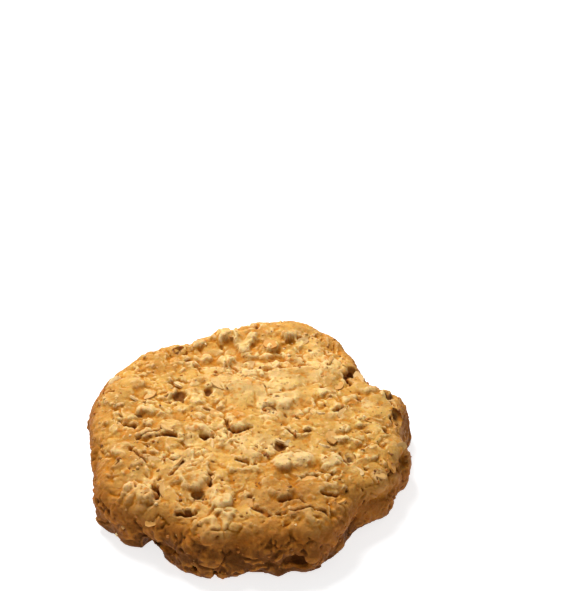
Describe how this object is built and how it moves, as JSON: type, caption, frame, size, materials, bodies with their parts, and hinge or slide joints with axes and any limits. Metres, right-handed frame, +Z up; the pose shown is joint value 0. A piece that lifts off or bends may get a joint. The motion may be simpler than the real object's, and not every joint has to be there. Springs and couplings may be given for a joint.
{
  "type": "oatmeal cookie",
  "caption": "Thick round baked oatmeal cookie with a lumpy top, an uneven rim and a flat underside to rest on.",
  "frame": {"origin": "middle of the box of the cookie, on the plane of its flat underside", "axes": "+Z up through the thickness, +X to the right and -Y towards the viewer in the picture"},
  "size_m": [0.0752, 0.0786, 0.0157],
  "materials": {
    "baked_dough": "matt baked oat dough, golden brown on top and darker at the foot"
  },
  "bodies": {
    "root": {"oatmeal_cookie": "baked_dough"}
  },
  "joints": []
}
